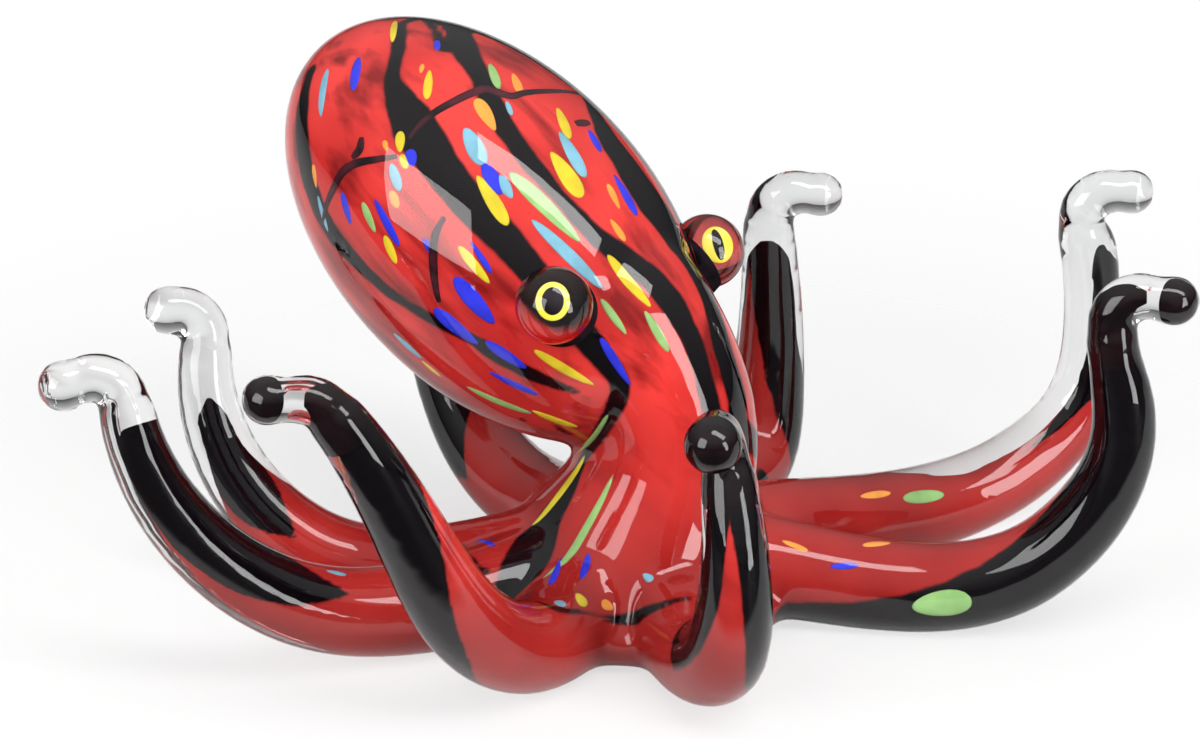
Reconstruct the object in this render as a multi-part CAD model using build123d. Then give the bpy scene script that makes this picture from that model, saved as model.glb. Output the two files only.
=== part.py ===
from build123d import *

import os
from dataclasses import dataclass
from math import cos, radians, sin

# Octopus figurine in hot-worked glass.
# A blown mantle bubble leans back from a flaring neck, which stands on a solid foot ground flat underneath.
# Eight arms grow out of the foot, each a coloured core inside a clear casing with a clear hooked tip.
# Two ball eyes sit on black pads on the head. Nothing moves: the gathers are joined hot.
# Millimetres and degrees, +Z up, +X to the viewer's right, the viewer on the -Y side.
# The origin is the centre of the ground underside of the foot, on the table.

# Foot: the solid gather that the arms are drawn from, turned about the upright axis.
FOOT_FLAT_RADIUS = 34.0
FOOT_RADIUS = 44.0
FOOT_BELLY_HEIGHT = 11.0
FOOT_TOP_RADIUS = 33.0
FOOT_HEIGHT = 26.0
FOOT_EDGE_SWELL = 2.0
FOOT_SHOULDER_DIP = 2.5

# Neck: round sections that rise from the foot and lean over into the mantle.
NECK_SKIN = 1.5
NECK_SHOULDER_RADIUS = 26.8
NECK_WAIST_RADIUS = 23.0
NECK_WAIST_HEIGHT = 51.0
NECK_WAIST_SHIFT = 9.0
NECK_THROAT_RADIUS = 23.5
NECK_THROAT_LIFT = 17.0
NECK_THROAT_BACK = 6.0
HEAD_RADIUS = 29.0
HEAD_BELOW_CENTRE = 30.0
HEAD_FORWARD = 0.5

# Mantle: a hollow egg on a leaning axis, with its blunt end up and back.
MANTLE_CENTRE = (-39.5, 32.0, 98.0)
MANTLE_AZIMUTH = 145.0
MANTLE_SLOPE = 34.0
MANTLE_RADIUS = 43.5
MANTLE_HALF_LENGTH = 70.0
MANTLE_SKIN = 1.5
MANTLE_WALL = 4.0
BLOW_HOLE_RADIUS = 9.0
BLOW_HOLE_DEPTH = 20.0

# Arms: sizes that all eight share.
ARM_ROOT_SINK = 5.0
ARM_ROOT_HEIGHT = 16.0
ARM_ROOT_RADIUS = 14.0
ARM_BEND_RADIUS = 11.6
ARM_WRIST_RADIUS = 7.2
ARM_BEND_AT = 0.45
ARM_ROOT_WALL = 1.6
ARM_STATIONS = 11
CORE_STOP_BELOW_WRIST = 5.0
TIP_BEND_RADIUS = 7.6
TIP_ROD_RADIUS = 6.2
TIP_NECK_RADIUS = 5.2
TIP_SEAT_DEPTH = 10.0
TIP_SEAT_SPREAD = 1.5

# Eyes: glass balls on pads, each with a yellow iris ring and a black pupil set inside its front.
EYE_RADIUS = 10.2
EYE_PAD_BASE_RADIUS = 11.5
EYE_PAD_TOP_RADIUS = 9.2
EYE_PAD_LENGTH = 16.0
EYE_PAD_BELOW_CENTRE = 2.0
IRIS_RADIUS = 5.2
IRIS_WIDTH = 1.8
IRIS_THICKNESS = 1.4
IRIS_FORWARD = 6.0
PUPIL_LENGTH = 6.4
PUPIL_WIDTH = 4.4

# Table block under the figurine, which the undersides are ground flat against.
TABLE_SPAN = 600.0
TABLE_DEPTH = 60.0


@dataclass
class Arm:
    """One arm: its plan direction, its centre line as (reach, height) pairs, and its hooked tip.

    The hook is a straight rise, a round bend to its own azimuth and slope, a straight reach and a ball.
    """

    name: str
    root_azimuth: float
    wrist_azimuth: float
    line: tuple
    wrist_wall: float
    hook_rise: float
    hook_azimuth: float
    hook_slope: float
    hook_reach: float
    ball_radius: float


@dataclass
class Eye:
    """One eye: its place round the mantle's axis, and the way it looks."""

    name: str
    turn: float
    below_centre: float
    off_axis: float
    gaze_azimuth: float
    gaze_slope: float


ARMS = (
    Arm("arm_left_front", 206, 201, ((66, 14), (94, 20), (115, 34), (130, 53), (138, 72), (140, 84)),
        2.4, 1.5, 197, -12, 6.0, 6.8),
    Arm("arm_left_back", 184, 171, ((60, 11), (84, 14), (101, 25), (112, 39), (118, 55), (119, 69)),
        3.6, 2.0, 190, -8, 1.5, 6.8),
    Arm("arm_front_left", 241, 227, ((58, 14), (82, 34), (94, 58), (105, 83), (111, 96)),
        2.2, 2.0, 186, 2, 9.0, 6.5),
    Arm("arm_front", 287, 288, ((54, 12), (70, 22), (77, 41), (75, 58), (69, 72)),
        2.2, 3.0, 264, -5, 3.5, 7.6),
    Arm("arm_right_front", -10, -6,
        ((60, 12), (83, 12), (104, 19), (120, 35), (128, 54), (127, 73), (124, 87)),
        2.2, 1.5, -5, -8, 7.5, 6.8),
    Arm("arm_right_back", 24, 26,
        ((76, 11), (102, 12), (125, 20), (139, 33), (143, 50), (142, 68), (138, 86)),
        3.4, 2.0, 5, -4, 6.0, 6.4),
    Arm("arm_back_right", 62, 62, ((56, 11), (74, 16), (80, 34), (81, 60), (78, 85)),
        2.4, 1.0, 5, -10, 6.0, 6.4),
    Arm("arm_back_left", 126, 124, ((56, 12), (76, 17), (91, 28), (101, 42), (105, 57), (105, 70)),
        2.4, 1.0, 115, -12, 5.0, 6.4),
)

EYES = (
    Eye("left_eye", 53, 36, 41.5, 268, 32),
    Eye("right_eye", -58, 43, 39.4, -64, 35),
)


def level(azimuth):
    """Unit vector in plan at this azimuth."""
    return Vector(cos(radians(azimuth)), sin(radians(azimuth)), 0)


def sloped(azimuth, slope):
    """Unit vector at this azimuth that climbs at this slope."""
    return level(azimuth) * cos(radians(slope)) + UP * sin(radians(slope))


UP = Vector(0, 0, 1)
MANTLE_AXIS = sloped(MANTLE_AZIMUTH, MANTLE_SLOPE)
MANTLE_SIDE = level(MANTLE_AZIMUTH + 90)
MANTLE_CREST = MANTLE_SIDE.cross(MANTLE_AXIS) * -1
MANTLE_FRAME = Plane(origin=MANTLE_CENTRE, x_dir=MANTLE_SIDE, z_dir=MANTLE_AXIS)


def disc(origin, normal, side, radius):
    """Round section of this radius, square to normal, with its seam on side."""
    return Plane(origin=origin, x_dir=side, z_dir=normal) * Circle(radius)


def rod(start, end, start_radius, end_radius):
    """Straight tapered rod between two points."""
    length = (end - start).length
    half = Polyline((0, 0), (start_radius, 0), (end_radius, length), (0, length), close=True)
    return Plane(origin=start, z_dir=end - start) * revolve(Plane.XZ * make_face(half), Axis.Z)


def knob(centre, facing, radius):
    """Ball with its pole on this direction."""
    return Plane(origin=centre, z_dir=facing) * Sphere(radius)


def egg(inset):
    """Egg about the mantle's axis, this far inside the glass surface: a ball drawn out along the axis."""
    across = MANTLE_RADIUS - inset
    return MANTLE_FRAME * scale(Sphere(1), by=(across, across, MANTLE_HALF_LENGTH - inset))


def make_mantle():
    """Coloured bubble and the clear casing gathered over it, both open at the blow hole inside the neck."""
    outside = egg(0)
    colour = egg(MANTLE_SKIN)
    hollow = egg(MANTLE_SKIN + MANTLE_WALL)
    pole = Vector(MANTLE_CENTRE) - MANTLE_AXIS * MANTLE_HALF_LENGTH
    reach = MANTLE_AXIS * BLOW_HOLE_DEPTH
    blow_hole = rod(pole - reach, pole + reach, BLOW_HOLE_RADIUS, BLOW_HOLE_RADIUS)
    return {"mantle": colour - hollow - blow_hole, "mantle_casing": outside - colour - blow_hole}


def make_foot():
    """Turned solid with a flat underside, a round belly and a hollow shoulder up to the neck."""
    flat = Vector(FOOT_FLAT_RADIUS, 0)
    belly = Vector(FOOT_RADIUS, FOOT_BELLY_HEIGHT)
    top = Vector(FOOT_TOP_RADIUS, FOOT_HEIGHT)
    edge = (flat + belly) / 2 + Vector(FOOT_EDGE_SWELL, -FOOT_EDGE_SWELL)
    shoulder = (belly + top) / 2 - Vector(FOOT_SHOULDER_DIP, FOOT_SHOULDER_DIP) / 2
    outline = Curve() + [
        Line((0, 0), flat),
        ThreePointArc(flat, edge, belly),
        ThreePointArc(belly, shoulder, top),
        Line(top, (0, FOOT_HEIGHT)),
        Line((0, FOOT_HEIGHT), (0, 0)),
    ]
    return revolve(Plane.XZ * make_face(outline), Axis.Z)


def neck_loft(inset):
    """Neck this far inside the glass surface: upright to the waist, then leaning along the mantle."""
    root = UP * FOOT_HEIGHT
    waist = Vector(NECK_WAIST_SHIFT, 0, NECK_WAIST_HEIGHT)
    head = Vector(MANTLE_CENTRE) - MANTLE_AXIS * HEAD_BELOW_CENTRE + MANTLE_CREST * HEAD_FORWARD
    lean = (UP + MANTLE_AXIS).normalized()
    throat = waist + UP * NECK_THROAT_LIFT + level(MANTLE_AZIMUTH) * NECK_THROAT_BACK
    sections = [
        disc(root, UP, MANTLE_SIDE, FOOT_TOP_RADIUS - inset),
        disc((root + waist) / 2, UP, MANTLE_SIDE, NECK_SHOULDER_RADIUS - inset),
        disc(waist, UP, MANTLE_SIDE, NECK_WAIST_RADIUS - inset),
        disc(throat, lean, MANTLE_SIDE, NECK_THROAT_RADIUS - inset),
        disc(head, MANTLE_AXIS, MANTLE_SIDE, HEAD_RADIUS - inset),
    ]
    return loft(sections)


def make_neck():
    """Coloured neck and its clear sleeve, both hollowed to seat the mantle."""
    seat = egg(0)
    core = neck_loft(NECK_SKIN)
    sleeve = neck_loft(0) - core
    return {"neck": core - seat, "neck_casing": sleeve - seat}


def arm_azimuth(arm, share):
    """Plan direction of an arm at this share of its length."""
    return arm.root_azimuth + (arm.wrist_azimuth - arm.root_azimuth) * share


def arm_path(arm):
    """Centre line of an arm, from inside the foot to the wrist."""
    line = ((FOOT_TOP_RADIUS - ARM_ROOT_SINK, ARM_ROOT_HEIGHT),) + arm.line
    last = len(line) - 1
    points = []
    for i, (reach, height) in enumerate(line):
        points.append(level(arm_azimuth(arm, i / last)) * reach + UP * height)
    return Spline(*points)


def arm_radius(share):
    """Outside radius of an arm at this share of its length: widest at the root, slimmest at the wrist."""
    if share < ARM_BEND_AT:
        return ARM_ROOT_RADIUS + (ARM_BEND_RADIUS - ARM_ROOT_RADIUS) * share / ARM_BEND_AT
    past_bend = (share - ARM_BEND_AT) / (1 - ARM_BEND_AT)
    return ARM_BEND_RADIUS + (ARM_WRIST_RADIUS - ARM_BEND_RADIUS) * past_bend


def limb(arm, stop, root_wall, wrist_wall):
    """Round limb along an arm's line up to this share, inside a wall that changes from root to wrist."""
    path = arm_path(arm)
    sections = []
    for i in range(ARM_STATIONS):
        share = stop * i / (ARM_STATIONS - 1)
        side = level(arm_azimuth(arm, share) + 90)
        inset = root_wall + (wrist_wall - root_wall) * share
        sections.append(disc(path @ share, path % share, side, arm_radius(share) - inset))
    return loft(sections)


def make_tip(arm):
    """Clear tip: a short rod up from the wrist, a round bend, and a rod out to a ball."""
    path = arm_path(arm)
    wrist = path @ 1
    rise = path % 1
    out = sloped(arm.hook_azimuth, arm.hook_slope)
    turn = rise.get_angle(out)
    hinge = rise.cross(out).normalized()
    inward = hinge.cross(rise)
    bend_start = wrist + rise * arm.hook_rise
    bend_centre = bend_start + inward * TIP_BEND_RADIUS
    bend_end = bend_centre - hinge.cross(out) * TIP_BEND_RADIUS
    ball = bend_end + out * arm.hook_reach
    section = disc(bend_start, rise, hinge, TIP_ROD_RADIUS)
    tip = rod(wrist, bend_start, ARM_WRIST_RADIUS, TIP_ROD_RADIUS)
    tip += revolve(section, Axis(bend_centre, hinge), turn)
    tip += rod(bend_end, ball, TIP_ROD_RADIUS, TIP_NECK_RADIUS)
    tip += knob(ball, out, arm.ball_radius)
    seat_radius = ARM_WRIST_RADIUS + TIP_SEAT_SPREAD
    wrist_end = rod(wrist - rise * TIP_SEAT_DEPTH, wrist, seat_radius, ARM_WRIST_RADIUS)
    return tip - wrist_end


def make_arms(foot):
    """Core, casing and tip of every arm, seated on the foot and the neck and ground flat at the table."""
    table = Pos(0, 0, -TABLE_DEPTH / 2) * Box(TABLE_SPAN, TABLE_SPAN, TABLE_DEPTH)
    body = [table, foot, neck_loft(0)]
    pieces = {}
    for arm in ARMS:
        core_stop = 1 - CORE_STOP_BELOW_WRIST / arm_path(arm).length
        core = limb(arm, core_stop, ARM_ROOT_WALL, arm.wrist_wall)
        outside = limb(arm, 1, 0, 0)
        pieces[arm.name + "_core"] = core - body
        pieces[arm.name + "_casing"] = outside - core - body
        pieces[arm.name + "_tip"] = make_tip(arm)
        body.append(outside)
    return pieces


def make_eyes():
    """Pad, ball, iris and pupil of both eyes, seated on the head."""
    head = egg(0) + neck_loft(0)
    pieces = {}
    for eye in EYES:
        outward = MANTLE_CREST * cos(radians(eye.turn)) + MANTLE_SIDE * sin(radians(eye.turn))
        centre = Vector(MANTLE_CENTRE) - MANTLE_AXIS * eye.below_centre + outward * eye.off_axis
        gaze = sloped(eye.gaze_azimuth, eye.gaze_slope)
        ball = knob(centre, outward, EYE_RADIUS)
        front = Plane(origin=centre + gaze * IRIS_FORWARD, x_dir=level(eye.gaze_azimuth + 90), z_dir=gaze)
        pupil_outline = Ellipse(PUPIL_WIDTH / 2, PUPIL_LENGTH / 2)
        pupil = extrude(front * pupil_outline, IRIS_THICKNESS)
        iris = extrude(front * Circle(IRIS_RADIUS), IRIS_THICKNESS) - pupil
        pad_top = centre - outward * EYE_PAD_BELOW_CENTRE
        pad = rod(pad_top - outward * EYE_PAD_LENGTH, pad_top, EYE_PAD_BASE_RADIUS, EYE_PAD_TOP_RADIUS)
        pieces[eye.name + "_pad"] = pad - ball - head
        pieces[eye.name + "_ball"] = ball - head - iris - pupil
        pieces[eye.name + "_iris"] = iris
        pieces[eye.name + "_pupil"] = pupil
    return pieces


def main():
    """Make every piece and write each to its own file."""
    os.makedirs("parts", exist_ok=True)
    foot = make_foot()
    pieces = {"foot": foot}
    pieces.update(make_mantle())
    pieces.update(make_neck())
    pieces.update(make_eyes())
    pieces.update(make_arms(foot))
    for name, shape in pieces.items():
        export_step(shape, f"parts/{name}.step")


main()
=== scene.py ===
"""Glass octopus figurine: the looks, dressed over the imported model."""

import math
import random

import bpy
import numpy as np
from mathutils import Matrix, Quaternion, Vector
from mathutils.bvhtree import BVHTree


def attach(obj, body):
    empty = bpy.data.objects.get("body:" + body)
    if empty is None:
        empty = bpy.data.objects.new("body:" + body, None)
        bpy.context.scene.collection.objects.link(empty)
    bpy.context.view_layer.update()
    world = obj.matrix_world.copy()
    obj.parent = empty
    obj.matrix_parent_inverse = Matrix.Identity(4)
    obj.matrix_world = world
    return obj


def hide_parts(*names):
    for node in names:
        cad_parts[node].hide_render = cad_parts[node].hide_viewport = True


bl_info = {
    "name": "Glass octopus figurine",
    "version": (1, 0, 0),
    "blender": (4, 5, 0),
    "location": "View3D > Sidebar > Octopus",
    "description": "Builds the hot-worked glass of an octopus figurine over its packed model",
    "category": "Object",
}

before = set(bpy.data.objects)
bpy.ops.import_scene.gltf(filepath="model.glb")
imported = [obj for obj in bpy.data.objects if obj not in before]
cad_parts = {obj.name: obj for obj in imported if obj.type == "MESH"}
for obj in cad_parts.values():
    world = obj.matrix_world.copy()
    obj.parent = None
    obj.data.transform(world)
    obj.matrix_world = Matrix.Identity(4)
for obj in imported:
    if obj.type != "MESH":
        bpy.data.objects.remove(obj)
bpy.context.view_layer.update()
MM = 0.001

# Camera, fitted to the photograph: where it looks, how far off and how high.
LOOK_AT = Vector((-10.7, 0.0, 70.8)) * MM
CAMERA_DISTANCE = 1.0
CAMERA_RISE = math.radians(25.0)
CAMERA_LENS = 112.5
SENSOR_WIDTH = 36.0
PICTURE_SIZE = (1200, 739)

# Size of one dot of that picture at the figurine, in millimetres.
DOT = 0.267

# Arm centre lines, as the solids have them: plan direction at root and wrist, then (reach, height) pairs.
ARM_ROOT = (28, 16)
ARM_LINES = {
    "arm_left_front": (206, 201, ((66, 14), (94, 20), (115, 34), (130, 53), (138, 72), (140, 84))),
    "arm_left_back": (184, 171, ((60, 11), (84, 14), (101, 25), (112, 39), (118, 55), (119, 69))),
    "arm_front_left": (241, 227, ((58, 14), (82, 34), (94, 58), (105, 83), (111, 96))),
    "arm_front": (287, 288, ((54, 12), (70, 22), (77, 41), (75, 58), (69, 72))),
    "arm_right_front": (-10, -6, ((60, 12), (83, 12), (104, 19), (120, 35), (128, 54), (127, 73), (124, 87))),
    "arm_right_back": (24, 26, ((76, 11), (102, 12), (125, 20), (139, 33), (143, 50), (142, 68), (138, 86))),
    "arm_back_right": (62, 62, ((56, 11), (74, 16), (80, 34), (81, 60), (78, 85))),
    "arm_back_left": (126, 124, ((56, 12), (76, 17), (91, 28), (101, 42), (105, 57), (105, 70))),
}
ARM_RADIUS = 12.0

# Mantle and eyes, as the solids have them: the egg's middle and its leaning axis, then for each eye its turn
# round the axis, how far it lies below the middle and off the axis, and the way it looks.
MANTLE_CENTRE = Vector((-39.5, 32.0, 98.0))
MANTLE_AZIMUTH = 145.0
MANTLE_SLOPE = 34.0
MANTLE_RADIUS = 43.5
MANTLE_HALF_LENGTH = 70.0
EYES = {"left_eye": (53, 36, 41.5, 268, 32), "right_eye": (-58, 43, 39.4, -64, 35)}
EYE_RADIUS = 10.2
IRIS_FORWARD = 6.4
IRIS_HALF_SIZES = (4.0, 4.6, 0.6)
PUPIL_FORWARD = 6.8
PUPIL_HALF_SIZES = {"left_eye": (2.6, 3.3, 0.7), "right_eye": (1.4, 3.9, 0.7)}

# The eye ball is clear beyond this share of its radius, the way it looks, and goes to red over this share.
CLEAR_FRONT = 0.75
RED_RUN = 0.35

# Black glass on each arm: the side that its stripe lies on, in degrees round the arm from its outer face, the
# shares of the arm's length where the stripe starts and where it closes right round, which may lie past its
# end, and the half width in degrees that it opens with.
ARM_STRIPES = {
    "arm_left_front": (140, 0.30, 0.90, 0),
    "arm_left_back": (120, 0.42, 0.85, 0),
    "arm_front_left": (-35, 0.16, 0.85, 0),
    "arm_front": (150, 0.20, 1.30, 112),
    "arm_right_front": (-30, -0.12, 0.84, 0),
    "arm_right_back": (170, 0.40, 0.80, 0),
    "arm_back_right": (-45, 0.30, 1.05, 30),
    "arm_back_left": (90, 0.25, 0.75, 0),
}

# The share of the length over which a stripe opens, the half width in degrees that it grows to, and how far
# it goes on narrowing before its start. It lies on an arm of this radius, and holds within so many radii.
STRIPE_OPENING = 0.1
STRIPE_CLOSED = 220
STRIPE_LEAD = -0.2
STRIPE_RADIUS = 9.0
STRIPE_HOLD = 1.4

# Distance from the black, in millimetres, that stands for anywhere far off.
FAR_FROM_BLACK = 60.0

# How the colour runs up inside each arm: the share of the length where it starts to thin, how thin it gets,
# the share where it ends, and how far it lies off the middle, away from the outer face, in millimetres.
CORE_RUNS = {
    "arm_left_front": (0.10, 0.84, 0.985, 1.9),
    "arm_left_back": (0.45, 0.62, 0.86, 0.0),
    "arm_front_left": (0.20, 0.86, 0.985, 1.7),
    "arm_front": (0.35, 0.78, 0.985, 0.0),
    "arm_right_front": (0.50, 0.95, 0.985, 0.0),
    "arm_right_back": (0.04, 0.60, 0.985, -2.8),
    "arm_back_right": (0.45, 0.76, 0.985, 0.8),
    "arm_back_left": (0.45, 0.85, 0.985, 0.0),
}

# Shares of the length over which a core thins and over which its end is rounded, and rounds of smoothing.
CORE_THINNING = 0.25
CORE_ROUNDING = 0.08
CORE_ROUNDS = 12

# Arms with dark glass in the ball at the tip and on round the bend: the ball's radius, its heart's share of
# that, and the hook's azimuth and slope.
DARK_TIPS = {
    "arm_front_left": (6.5, 0.60, (186, 2)),
    "arm_front": (7.6, 0.58, (264, -5)),
    "arm_right_front": (6.8, 0.60, (-5, -8)),
}

# The dark glass in a bend: the bend's radius, how far past the wrist it starts, the dark core's radius, how
# far before the wrist the core starts, and the share of its radius that it loses on the way round.
BEND_RADIUS = 7.6
BEND_START = 1.5
BEND_CORE_RADIUS = 4.4
BEND_LEAD = 8
BEND_THINNING = 0.75

# Black trails as the camera sees them: dots across, dots down and full width in dots of the picture.
TRAILS = (
    ((314, 73, 14), (305, 111, 24), (306, 153, 27), (316, 194, 26), (333, 229, 24), (362, 264, 17),
     (398, 296, 13), (436, 320, 13), (471, 337, 13), (503, 358, 16), (542, 378, 12), (577, 390, 6)),
    ((402, 28, 12), (398, 53, 15), (393, 79, 16), (401, 103, 32), (411, 120, 44), (424, 141, 44),
     (442, 167, 38), (462, 194, 35), (486, 220, 34), (509, 243, 32), (533, 273, 29), (556, 302, 28)),
    ((586, 337, 28), (606, 361, 24), (618, 378, 21), (619, 396, 20), (609, 417, 18), (597, 440, 18),
     (586, 460, 16), (570, 490, 24), (548, 525, 40), (528, 560, 44), (508, 592, 30)),
    ((402, 27, 10), (424, 24, 12), (448, 26, 14), (463, 34, 20)),
    ((436, 26, 15), (454, 32, 26), (465, 53, 29), (477, 73, 24), (495, 111, 24), (509, 135, 22),
     (530, 164, 20), (553, 191, 17), (577, 217, 17), (600, 241, 22), (627, 261, 25), (653, 282, 27),
     (674, 308, 27), (688, 334, 24), (700, 367, 21), (709, 402, 20), (715, 440, 18)),
    ((584, 104, 14), (605, 138, 34), (626, 168, 46), (647, 200, 52), (668, 232, 48), (697, 282, 36),
     (712, 317, 32), (722, 352, 32), (735, 395, 32), (748, 440, 28), (760, 480, 20)),
    ((465, 402, 5), (524, 417, 8), (571, 431, 7)),
    ((536, 606, 5), (553, 611, 9), (580, 613, 5), (612, 620, 9), (640, 617, 14), (662, 607, 8),
     (688, 601, 5)),
    ((463, 550, 6), (474, 566, 9), (486, 573, 5)),
)

# Trails on the far side of the mantle: the turn from its crest in degrees, and the half width in millimetres.
# Each passes these places along the mantle, and turns so many degrees for each millimetre on the way.
BACK_TRAILS = ((165, 4.0), (205, 4.0), (245, 4.0), (284, 4.0), (322, 7.5))
BACK_TRAIL_PLACES = range(60, -50, -15)
BACK_TRAIL_LEAN = 1 / 6

# Threads of dark glass laid over the mantle, as dots across and down the picture. They thin to a share of
# their radius at the ends.
THREADS = (
    ((577, 98), (550, 94), (524, 95), (509, 98), (486, 91), (471, 95), (454, 103), (436, 113),
     (421, 125), (410, 139)),
    ((398, 157), (377, 160), (357, 164), (344, 173), (336, 188), (330, 202), (326, 223)),
    ((363, 138), (361, 150), (354, 158)),
    ((445, 217), (436, 235), (434, 258), (436, 282), (440, 301)),
    ((587, 125), (574, 126)),
)
THREAD_RADIUS = 1.25
THREAD_ENDS = 0.5

# Between these heights, in millimetres, the red goes from the hub and the arms, darkened as painted shade,
# to the mantle, brightened as painted light, with darker streaks there this many times longer than wide.
HUB_TO_MANTLE_HEIGHTS = (28.0, 72.0)
HUB_PAINTED_SHADE = 0.75
MANTLE_PAINTED_LIGHT = 1.35
STREAK_STRETCH = 7.0

# Flecks of coloured glass as the camera sees them: the two ends across and down, and the width, in dots.
FLECKS = {
    "sky": ((330, 70, 323, 118, 10), (465, 129, 484, 166, 18), (558, 133, 584, 179, 15),
            (531, 220, 602, 289, 13), (392, 164, 401, 191, 11), (295, 199, 308, 238, 7),
            (396, 331, 424, 356, 10), (506, 103, 511, 117, 6), (498, 176, 512, 199, 12),
            (553, 606, 565, 606, 9), (643, 574, 653, 582, 8), (325, 574, 345, 578, 6)),
    "blue": ((360, 59, 355, 92, 11), (437, 43, 437, 53, 7), (344, 192, 353, 224, 9),
             (376, 199, 401, 246, 9), (483, 164, 502, 195, 15), (587, 132, 599, 154, 10),
             (612, 176, 635, 217, 11), (455, 277, 495, 323, 18), (435, 308, 479, 343, 15),
             (486, 340, 527, 367, 12), (490, 370, 539, 393, 8), (599, 337, 631, 384, 9),
             (410, 150, 414, 167, 12), (471, 241, 492, 273, 6), (424, 238, 436, 255, 8),
             (590, 552, 581, 580, 8), (562, 560, 551, 588, 9), (490, 520, 480, 545, 7),
             (830, 567, 858, 566, 7)),
    "yellow": ((396, 25, 393, 45, 7), (430, 72, 427, 101, 9), (477, 176, 508, 226, 14),
               (556, 110, 568, 141, 12), (550, 153, 581, 199, 19), (459, 246, 490, 283, 10),
               (401, 132, 401, 153, 10), (402, 155, 408, 169, 9), (606, 255, 650, 307, 11),
               (534, 349, 594, 384, 10), (386, 235, 398, 263, 10), (424, 358, 443, 374, 6),
               (533, 408, 578, 424, 9), (589, 455, 533, 529, 11), (576, 595, 584, 608, 11)),
    "orange": ((512, 76, 520, 97, 10), (476, 100, 495, 132, 14), (606, 185, 618, 210, 8),
               (392, 191, 399, 208, 10), (288, 164, 294, 191, 7), (609, 220, 624, 242, 8),
               (385, 141, 388, 151, 6), (423, 66, 421, 75, 5), (600, 603, 612, 609, 10),
               (858, 500, 888, 497, 8), (862, 548, 890, 547, 9), (782, 542, 808, 552, 6)),
    "green": ((489, 66, 498, 91, 10), (509, 173, 580, 243, 16), (364, 202, 377, 232, 9),
              (600, 299, 627, 334, 8), (644, 311, 668, 352, 9), (468, 384, 533, 411, 10),
              (609, 411, 583, 449, 7), (615, 474, 545, 585, 9), (900, 502, 940, 497, 13),
              (912, 606, 972, 600, 28)),
}

# A fleck's thickness and how far its middle stands proud of the core, in millimetres, the share by which one
# end may be wider, and how dark its drift is beside its colour.
FLECK_THICKNESS = 0.7
FLECK_PROUD = 0.1
FLECK_LEAN = 0.35
FLECK_DRIFT = 0.75

# Flecks on the far side are drawn at random: their number, and the ranges of their turn from the crest in
# degrees and of their place along the mantle, length and width in millimetres.
FLECK_SEED = 11
BACK_FLECKS = 44
BACK_FLECK_TURNS = (150, 305)
BACK_FLECK_PLACES = (-50, 52)
BACK_FLECK_LENGTHS = (6, 14)
BACK_FLECK_WIDTHS = (2.0, 3.6)

# Where the clear glass flows together: all round the hub's middle, less over the last stretch of the web's
# reach, and by the least share beyond it. Above the body's height it has its own share. Sizes in millimetres.
HUB_MIDDLE = (0, 0, 15)
WEB_REACH = 95
WEB_FADE = 40
LEAST_FLOW = 0.12
BODY_HEIGHT = 60
BODY_FLOW = 0.2
SMOOTHING = 0.5

# Slow waves on the glass: the noise's scale, the bump's strength and its depth in millimetres.
CLEAR_WAVES = (45.0, 0.12, 0.6)
EYE_WAVES = (45.0, 0.05, 0.3)
SOLID_WAVES = (160.0, 0.10, 0.3)
CORE_WAVES = (38.0, 0.10, 0.5)
PATCH_RANGE = (0.3, 0.7)
GLASS_INDEX = 1.5
BURIED_ROUGHNESS = 0.5

# Noise in the core's colours: its detail, the scale of the streaks and the values between which they show,
# and for the edge of the black its scale, how far it wavers and where it blurs, in millimetres.
NOISE_DETAIL = 3.0
STREAK_SCALE = 130.0
STREAK_RANGE = (0.50, 0.68)
EDGE_SCALE = 110.0
EDGE_WAVER = 0.9
EDGE_BLUR = (-0.5, 0.7)

# Light from the studio's surroundings: on the pieces, through clear glass, and as the glass mirrors the room
# at eye level and the ceiling. The white table that the glass mirrors ends a little way in front of the
# figurine. The camera sees only part of the shadow's depth, and from its reach outwards less, to none.
WORLD_LIGHT = 0.45
WORLD_THROUGH = 0.85
ROOM_MIRRORED = 0.08
CEILING_MIRRORED = 0.62
CEILING_RISE = 0.8
TABLE_FRONT = -0.115
TABLE_EDGE = 0.03
SHADOW_REACH = 0.16
SHADOW_SHARE = 0.38
SHADOW_FADE = 2.2
FLOOR_COLOUR = (0.86, 0.86, 0.86)
ROOM_COLOUR = (0.05, 0.05, 0.05)
FLOOR_ROUGHNESS = 0.6
FLOOR_SHINE = 0.1

# Softboxes, all aimed at the figurine: azimuth, rise and roll in degrees, width and height in metres, watts.
LAMP_DISTANCE = 1.4
LAMPS = (
    ("overhead strip", -48, 59, 31, 0.38, 1.2, 11),
    ("left window", -136, 24, 0, 0.9, 0.85, 13),
    ("right softbox", -42, 12, 0, 0.4, 0.8, 8),
)


def heading(azimuth, rise=0.0):
    """Unit vector at this azimuth and rise, in degrees."""
    azimuth = math.radians(azimuth)
    rise = math.radians(rise)
    return Vector((math.cos(azimuth) * math.cos(rise), math.sin(azimuth) * math.cos(rise), math.sin(rise)))


MANTLE_AXIS = heading(MANTLE_AZIMUTH, MANTLE_SLOPE)
MANTLE_SIDE = heading(MANTLE_AZIMUTH + 90)
MANTLE_CREST = MANTLE_AXIS.cross(MANTLE_SIDE)


def off_axis(turn):
    """Unit vector square to the mantle's axis, this turn from its crest in degrees."""
    return MANTLE_CREST * math.cos(math.radians(turn)) + MANTLE_SIDE * math.sin(math.radians(turn))


def on_mantle(turn, along):
    """Point of the mantle in millimetres, this turn from its crest in degrees and this far along it."""
    radius = MANTLE_RADIUS * math.sqrt(1 - (along / MANTLE_HALF_LENGTH) ** 2)
    return MANTLE_CENTRE + MANTLE_AXIS * along + off_axis(turn) * radius


def link(obj):
    """Put a new object in the scene."""
    bpy.context.scene.collection.objects.link(obj)
    return obj


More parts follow.
